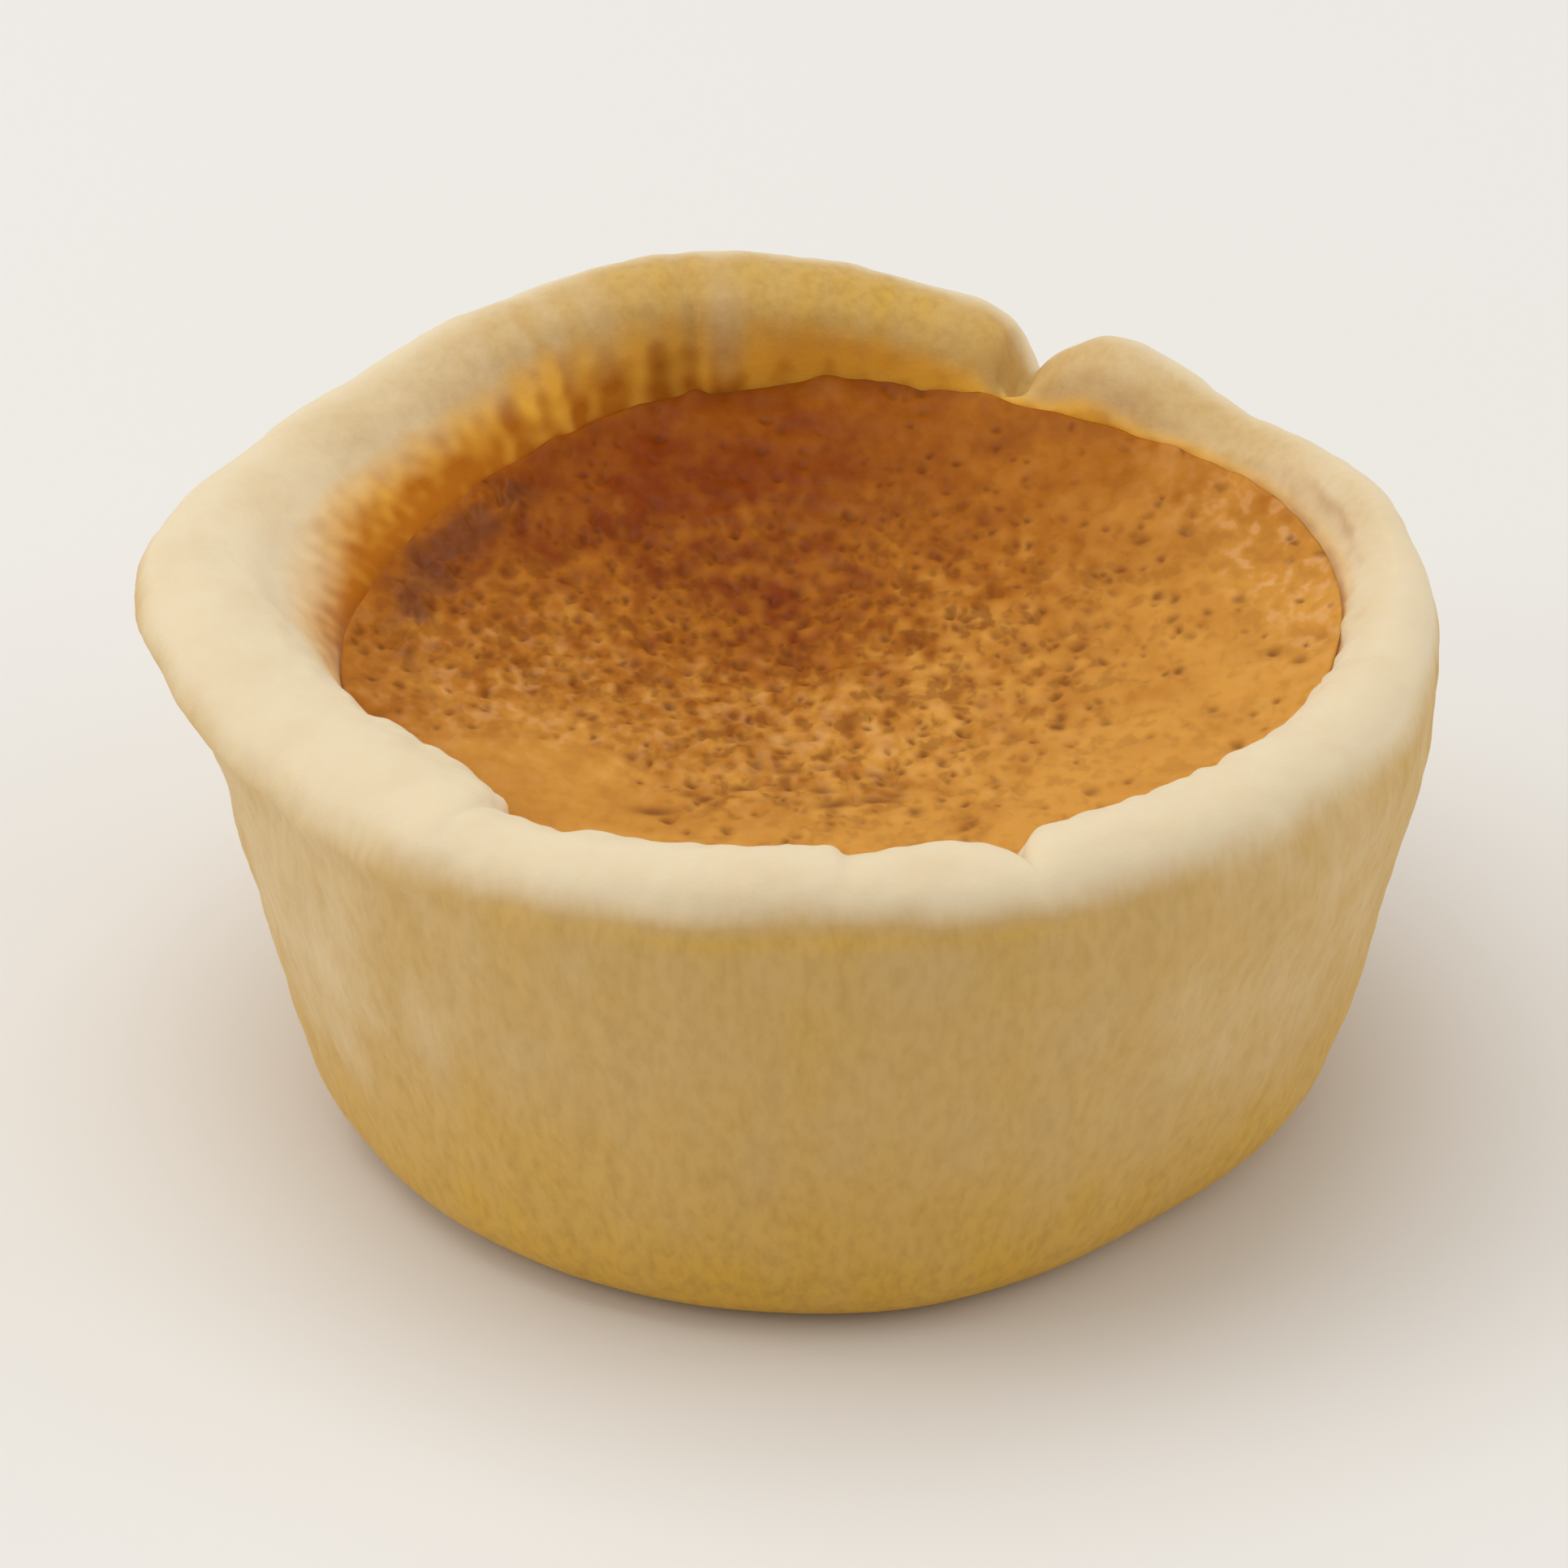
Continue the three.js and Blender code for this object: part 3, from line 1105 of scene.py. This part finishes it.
@dataclass
class Filling:
    """The filling: a disc dished and pitted by baking, closed underneath to fit the cup."""

    form: TartForm
    finish: BakedFillingFinish = BakedFillingFinish()
    cuts: tuple = (11, 13)
    into_wall: float = 0.35
    evened: tuple = (-9.0, -6.0, -3.0, 0.0, 3.0, 6.0, 9.0)
    clearance: float = 0.3
    seed: int = 5

    # The dish is deepest left of the middle and towards the back, and its edge climbs the wall a little.
    low_point: tuple = (-3.7, 5.6)
    low_sink: float = 0.5
    low_spread: float = 10.0
    low_evened: float = 0.35
    climb: float = 0.2
    climb_mottle: Mottle = Mottle(2.4, 70, 0.35)
    climb_from: float = 0.93
    still_from: float = 0.97

    # The skin set in low swells, rougher where it is porous, and in faint rings round the lowest point.
    swells: Mottle = Mottle(5, 10, 0.22)
    rough_swells: tuple = (Mottle(1.4, 20, 0.16), Mottle(0.65, 30, 0.1))
    least_rough: float = 0.15
    porous_rough: float = 0.75
    ring_spacing: float = 2.3
    ring_waver: Mottle = Mottle(9, 50, 2)
    ring_at: tuple = (9.0, 7.0)
    ring_height: float = 0.035

    # Pores are drawn out from left to right, with ragged edges.
    pore_tries: int = 4500
    pore_share: float = 0.5
    pore_radius: tuple = (0.24, 0.5)
    pore_reach: float = 1.6
    pore_edge: float = 1.6
    pore_tint: tuple = (0.2, 0.8)
    most_tint: float = 0.9
    pore_drawn: float = 1.5
    pore_depth: float = 0.4
    ragged: tuple = (Mottle(0.8, 110, 0.3), Mottle(0.8, 120, 0.3))
    least_porous: float = 0.12
    porous_patches: tuple = (
        Patch(-4, 1, 20, 17, 0.7, power=2),
        Patch(9.5, 6, 6, 7, 0.25),
        Patch(-3, -13, 8, 4, 0.35),
        Patch(-21, -4, 5, 6, -0.1),
        Patch(-14, -13, 6, 6, -0.7),
    )

    # A strip of syrup boiled through at the left of the back and set in bubbles.
    syrup_at: tuple = (159.0, 22.8)
    syrup_size: tuple = (25.0, 1.5)
    syrup_ragged: Mottle = Mottle(1.8, 60, 0.6)
    syrup_fade: tuple = (1.25, 0.5)
    syrup_strength: float = 0.75
    syrup_uneven: Mottle = Mottle(1.1, 65, 0.35)
    bubbles: int = 50
    bubble_strip: float = 0.8
    bubble_level: float = 27.0
    bubble_radius: tuple = (0.35, 0.7)
    bubble_rise: float = 0.3667

    # Short cracks across the front of the skin.
    cracks: int = 16
    crack_at: tuple = (-2.0, -13.5)
    crack_area: tuple = (7.5, 3.5)
    crack_length: tuple = (0.4, 1.2)
    crack_width: tuple = (0.35, 0.6)
    crack_bend: float = 0.15
    crack_slant: float = 0.3
    crack_strength: tuple = (0.4, 1)
    crack_depth: float = 0.2
    crack_tint: float = 0.75

    # The skin browned towards the left of the back and in patches; the darkening towards the back, under
    # the high back wall, is partly painted shade of that wall.
    browning: float = 0.33
    brown_and_shade_rise: float = 0.39
    brown_and_shade_way: tuple = (-0.6, 0.8)
    brown_and_shade_spread: float = 18.0
    brown_patches: tuple = (
        Patch(-11, 16, 11, 11, 0.22),
        Patch(-2, 5, 8, 8, 0.3),
        Patch(0, 20, 10, 6, 0.2),
        Patch(14, 14, 5, 5, 0.06),
        Patch(-20, 9, 4, 4, 0.1),
        Patch(-2, -15, 8, 4, 0.12),
        Patch(15, -4, 5, 5, 0.1),
        Patch(-14, -12, 6, 6, -0.22),
        Patch(-20, -1, 6, 8, -0.22),
        Patch(-10, 7, 6, 6, -0.14),
        Patch(-4, -3, 8, 4, -0.1),
        Patch(7, 3, 4, 4, -0.08),
    )
    brown_mottle: Mottle = Mottle(3, 90, 0.12)
    brown_specks: Mottle = Mottle(0.9, 95, 0.4, (1, 0.65, 1))

    # Pale specks at the right edge, where froth dried, and more pale specks at the front and on the left.
    froth: float = 0.1
    froth_edge: Swell = Swell(14, 22, 1.1)
    froth_radius: tuple = (21.5, 25.0)
    pale_speck_patches: tuple = (Patch(-3, -7, 12, 7, 0.7), Patch(-18, -2, 6, 7, 0.8))

    def disc(self) -> bpy.types.Object:
        """Returns a six-sided disc, cut finely into even triangles."""
        bpy.ops.object.select_all(action="DESELECT")
        bpy.ops.mesh.primitive_circle_add(vertices=6, radius=1, fill_type="TRIFAN")
        piece = bpy.context.object
        piece.name = "filling"
        piece.data.name = "filling"
        bpy.ops.object.mode_set(mode="EDIT")
        for cuts in self.cuts:
            bpy.ops.mesh.select_all(action="SELECT")
            bpy.ops.mesh.subdivide(number_cuts=cuts)
        bpy.ops.object.mode_set(mode="OBJECT")
        return piece

    def rounded(self, flat: np.ndarray) -> tuple[np.ndarray, np.ndarray]:
        """Turns places on the six-sided disc into places on a round one.

        Args:
            flat: x and y on a hexagon of radius 1 with a corner at azimuth 90.

        Returns:
            Each point's share of the way from the middle to the edge, and its azimuth.
        """
        around = (np.degrees(np.arctan2(flat[:, 1], flat[:, 0])) - 90) % 360
        sector = np.floor(around / 60 + 1e-6) % 6
        first, second = np.radians(60 * sector + 90), np.radians(60 * (sector + 1) + 90)
        across = np.sin(second - first)
        near_first = (flat[:, 0] * np.sin(second) - flat[:, 1] * np.cos(second)) / across
        near_second = (flat[:, 1] * np.cos(first) - flat[:, 0] * np.sin(first)) / across
        share = np.clip(near_first + near_second, 0, 1)
        azimuth = 60 * (sector + near_second / np.maximum(share, 1e-9)) + 90
        return share, azimuth % 360

    def surface(self, share: np.ndarray, azimuth: np.ndarray) -> np.ndarray:
        """The dished surface, without its fine relief.

        Args:
            share: each point's share of the way out to the edge.
            azimuth: its azimuth.

        Returns:
            The points, shape (count, 3).
        """
        lip = self.form.lip(azimuth)
        radius = (lip["fill_radius"] + self.into_wall) * share
        around = azimuth[:, None] + np.array(self.evened)
        even_radius = self.form.lip(around)["fill_radius"].mean(axis=1) + self.into_wall
        out = np.clip(radius / even_radius, 0, 1)
        rise = (lip["fill_height"] - self.form.fill_height) * out**self.form.edge_power
        height = self.form.fill_height + rise - self.form.dish_depth * (1 - out**self.form.dish_power)
        along = np.radians(azimuth)
        points = np.stack([radius * np.cos(along), radius * np.sin(along), height], axis=1)
        low = hump(self.from_low(points), 0, self.low_spread) - self.low_evened
        points[:, 2] -= self.low_sink * low * (1 - share**2)
        return points

    def from_low(self, points: np.ndarray) -> np.ndarray:
        """Returns how far each point is from the lowest point of the dish, seen from above."""
        return np.hypot(points[:, 0] - self.low_point[0], points[:, 1] - self.low_point[1])

    def in_syrup(self, points: np.ndarray) -> np.ndarray:
        """Measures the strip of syrup.

        Args:
            points: points of the filling's surface.

        Returns:
            How deep each point lies in the strip, from 0 to about 1.
        """
        azimuth = np.degrees(np.arctan2(points[:, 1], points[:, 0]))
        radius = np.hypot(points[:, 0], points[:, 1])
        along = turn(azimuth, self.syrup_at[0]) / self.syrup_size[0]
        across = (radius - self.syrup_at[1]) / self.syrup_size[1]
        depth = ease(np.hypot(along, across) + self.syrup_ragged.over(points), *self.syrup_fade)
        return depth * (self.syrup_strength + self.syrup_uneven.over(points))

    def porous(self, points: np.ndarray) -> np.ndarray:
        """Returns how thickly the pores lie at each point, from 0 to 1."""
        return np.clip(self.least_porous + total(self.porous_patches, points), 0, 1)

    def browned(self, points: np.ndarray) -> np.ndarray:
        """Measures the browning, with painted shade of the high back wall in it.

        Args:
            points: points of the filling's surface.

        Returns:
            How brown each point is, from 0 to 1.
        """
        # Darker towards the left of the back: partly browning, partly painted shade of the high back wall.
        towards = points[:, :2] @ np.array(self.brown_and_shade_way)
        brown = self.browning + self.brown_and_shade_rise * np.tanh(towards / self.brown_and_shade_spread)
        brown += total(self.brown_patches, points) + self.brown_mottle.over(points)
        return np.clip(brown + self.porous(points) * self.brown_specks.over(points), 0, 1)

    def frothy(self, points: np.ndarray) -> np.ndarray:
        """Measures the dried froth.

        Args:
            points: points of the filling's surface.

        Returns:
            How thickly its pale specks lie at each point, which may pass 1.
        """
        azimuth = np.degrees(np.arctan2(points[:, 1], points[:, 0]))
        edge = ease(np.hypot(points[:, 0], points[:, 1]), *self.froth_radius)
        return self.froth + self.froth_edge.over(azimuth) * edge + total(self.pale_speck_patches, points)

    def surface_tree(self, points: np.ndarray) -> kdtree.KDTree:
        """Sorts the surface's points for finding those near a pore or a bubble.

        Args:
            points: the points.

        Returns:
            A tree of the points, made ragged, and narrowed so that what is found is drawn out.
        """
        places = points.copy()
        for axis, ragged in enumerate(self.ragged):
            places[:, axis] += ragged.over(points)
        places[:, 1] /= self.pore_drawn
        tree = kdtree.KDTree(len(places))
        for index, place in enumerate(places):
            tree.insert(place, index)
        tree.balance()
        return tree

    def pit(self, tree: kdtree.KDTree, points: np.ndarray, pore: np.ndarray) -> None:
        """Sinks the pores into the surface.

        Args:
            tree: the surface's points, for finding those near a pore.
            points: the points, which are moved.
            pore: how dark a pore makes each point, from 0 to 1, which is raised.
        """
        draw = np.random.default_rng(self.seed)
        centres = points[draw.choice(len(points), self.pore_tries, replace=False)]
        kept = centres[draw.uniform(size=len(centres)) < self.pore_share * self.porous(centres)]
        kept[:, 1] /= self.pore_drawn
        small, large = self.pore_radius
        for centre in kept:
            radius = small + (large - small) * draw.uniform() ** 2
            tint = draw.uniform(*self.pore_tint)
            for _, index, distance in tree.find_range(centre, radius * self.pore_reach):
                share = math.exp(-((distance / radius) ** 2) * self.pore_edge)
                points[index, 2] -= self.pore_depth * radius * share
                pore[index] = max(pore[index], min(self.most_tint, share * tint))
        log.info("filling: %d pores", len(kept))

    def blister(self, tree: kdtree.KDTree, points: np.ndarray) -> None:
        """Raises the bubbles of the strip of syrup.

        Args:
            tree: the surface's points, for finding those near a bubble.
            points: the points, which are moved.
        """
        draw = np.random.default_rng(self.seed + 1)
        for _ in range(self.bubbles):
            azimuth = math.radians(self.syrup_at[0] + self.syrup_size[0] * draw.uniform(-1, 1))
            within = draw.uniform(-self.bubble_strip, self.bubble_strip)
            radius = self.syrup_at[1] + self.syrup_size[1] * within
            x, y = radius * math.cos(azimuth), radius * math.sin(azimuth) / self.pore_drawn
            top = tree.find((x, y, self.bubble_level))[0]
            size = draw.uniform(*self.bubble_radius)
            for _, index, distance in tree.find_range(top, size):
                points[index, 2] += self.bubble_rise * math.sqrt(size**2 - distance**2)

    def crack(self, points: np.ndarray, pore: np.ndarray) -> None:
        """Opens the short cracks across the front.

        Args:
            points: the surface's points, which are moved.
            pore: how dark a pore makes each point, from 0 to 1, which is raised.
        """
        draw = np.random.default_rng(self.seed + 2)
        for _ in range(self.cracks):
            x = self.crack_at[0] + self.crack_area[0] * draw.uniform(-1, 1)
            y = self.crack_at[1] + self.crack_area[1] * draw.uniform(-1, 1)
            length, width = draw.uniform(*self.crack_length), draw.uniform(*self.crack_width)
            bend = draw.uniform(-self.crack_bend, self.crack_bend)
            slant = draw.uniform(-self.crack_slant, self.crack_slant)
            along = points[:, 0] - x
            across = points[:, 1] - y - bend * along**2 - slant * along
            away = np.hypot(along / length, across / width)
            depth = draw.uniform(*self.crack_strength) * hump(away, 0, 1)
            points[:, 2] -= self.crack_depth * depth
            np.maximum(pore, self.crack_tint * depth, out=pore)

    def build(self) -> bpy.types.Object:
        """Builds the filling.

        Returns:
            The finished piece.
        """
        piece = self.disc()
        share, azimuth = self.rounded(read_points(piece)[:, :2] * MM)
        points = self.surface(share, azimuth)
        tree = self.surface_tree(points)
        pore = np.zeros(len(points))
        syrup = self.in_syrup(points)
        coarse = self.least_rough + self.porous_rough * self.porous(points)
        raised = self.swells.over(points) + coarse * total(self.rough_swells, points)
        from_low = self.from_low(points)
        turns = from_low * 2 * np.pi / self.ring_spacing + self.ring_waver.over(points)
        raised += self.ring_height * np.sin(turns) * hump(from_low, *self.ring_at)
        raised += ease(share, self.climb_from, 1) * (self.climb + self.climb_mottle.over(points))
        still = points.copy()
        self.pit(tree, points, pore)
        self.crack(points, pore)
        self.blister(tree, points)
        marked = ease(share, 1, self.still_from)[:, None]
        points = still + (points - still) * marked
        points[:, 2] += raised
        write_points(piece, points)

        write_values(piece, "pore", pore)
        write_values(piece, "brown", self.browned(points))
        write_values(piece, "coarse", coarse)
        write_values(piece, "froth", self.frothy(points))
        write_values(piece, "syrup", syrup)
        self.close(piece)
        select_only(piece)
        bpy.ops.object.shade_smooth()
        piece.data.materials.append(self.finish.material())
        return piece

    def lower_rim(self, piece: bpy.types.Object, level: int) -> None:
        """Extrudes the selected rim, in edit mode, down the inside of the cup.

        Args:
            piece: the disc.
            level: which row of the inside's outline the rim goes to.
        """
        bpy.ops.mesh.extrude_region_move()
        bpy.ops.object.mode_set(mode="OBJECT")
        points = read_points(piece)
        chosen = read_selected(piece)
        along = np.arctan2(points[chosen, 1], points[chosen, 0])
        radius, height = self.form.pocket(np.degrees(along), self.clearance)[level].T
        points[chosen] = np.stack([radius * np.cos(along), radius * np.sin(along), height], axis=1)
        write_points(piece, points)
        bpy.ops.object.mode_set(mode="EDIT")

    def close(self, piece: bpy.types.Object) -> None:
        """Closes the disc underneath, down the inside of the cup and across its floor.

        Args:
            piece: the disc, open at its edge.
        """
        select_only(piece)
        bpy.ops.object.mode_set(mode="EDIT")
        bpy.ops.mesh.select_all(action="SELECT")
        bpy.ops.mesh.normals_make_consistent(inside=False)
        bpy.ops.mesh.select_all(action="DESELECT")
        bpy.ops.mesh.select_non_manifold(extend=False, use_wire=False, use_multi_face=False)
        for level in range(3):
            self.lower_rim(piece, level)
        bpy.ops.mesh.edge_face_add()
        bpy.ops.mesh.poke()
        bpy.ops.mesh.select_all(action="SELECT")
        bpy.ops.mesh.normals_make_consistent(inside=False)
        bpy.ops.object.mode_set(mode="OBJECT")


@dataclass(frozen=True)
class Lamp:
    """A soft square lamp: its place and the length of its side in metres, and its power in watts."""

    name: str
    place: tuple
    side: float
    watts: float

    def hang(self) -> None:
        """Adds the lamp, turned towards the tart."""
        bpy.ops.object.light_add(type="AREA", location=self.place)
        lamp = bpy.context.object
        lamp.name = self.name
        lamp.data.size = self.side
        lamp.data.energy = self.watts
        lamp.rotation_euler = Vector(self.place).to_track_quat("Z", "Y").to_euler()


@dataclass
class Studio:
    """The floor, the soft lights and the camera."""

    aim: tuple = (-2.15, 0.0, 18.0)
    distance: float = 600.0
    elevation: float = 31.5
    sensor: float = 36.0
    view_width: float = 85.93
    floor_side: float = 6000.0
    sky: tuple = (0.95, 0.97, 1.0, 1.0)
    sky_strength: float = 0.52
    lamps: tuple = (
        Lamp("key", (-0.2, 0.1, 1.0), 0.9, 4.8),
        Lamp("left", (-1.0, -0.1, 0.45), 0.7, 2.4),
        Lamp("right", (1.0, 0.0, 0.4), 0.7, 2.1),
    )

    def camera(self) -> None:
        """Adds the camera, at the height that the tart is seen from."""
        tilt = math.radians(self.elevation)
        back = Vector((0, -math.cos(tilt), math.sin(tilt)))
        bpy.ops.object.camera_add(location=(Vector(self.aim) + back * self.distance) * MM)
        camera = bpy.context.object
        camera.rotation_euler = back.to_track_quat("Z", "Y").to_euler()
        camera.data.sensor_width = self.sensor
        camera.data.lens = self.sensor * self.distance / self.view_width
        bpy.context.scene.camera = camera

    def floor(self) -> None:
        """Lays the floor that the tart stands on."""
        bpy.ops.mesh.primitive_plane_add(size=self.floor_side * MM, location=(0, 0, 0))
        board = bpy.context.object
        board.name = "floor"
        board.data.materials.append(FloorFinish().material())

    def build(self) -> None:
        """Adds the camera, the floor and the lights."""
        self.camera()
        self.floor()
        for lamp in self.lamps:
            lamp.hang()
        world = bpy.data.worlds.new("studio")
        world.use_nodes = True
        sky = world.node_tree.nodes["Background"].inputs
        sky["Color"].default_value = self.sky
        sky["Strength"].default_value = self.sky_strength
        bpy.context.scene.world = world
        bpy.context.scene.view_settings.view_transform = "Standard"


def main() -> None:
    """Builds the tart and the studio."""
    logging.basicConfig(level=logging.INFO, format="%(name)s: %(message)s")
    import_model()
    form = TartForm()
    parts = ((Crust(form), "crust", Slot.PASTRY), (Filling(form), "filling", Slot.FILLING))
    for part, node, slot in parts:
        piece = part.build()
        piece.name = f"baked_{node}"
        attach(piece, BODY)
        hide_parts(node)
        mesh = piece.data
        log.info("%s: %d vertices, %d faces", piece.name, len(mesh.vertices), len(mesh.polygons))
    Studio().build()


if __name__ == "__main__":
    main()
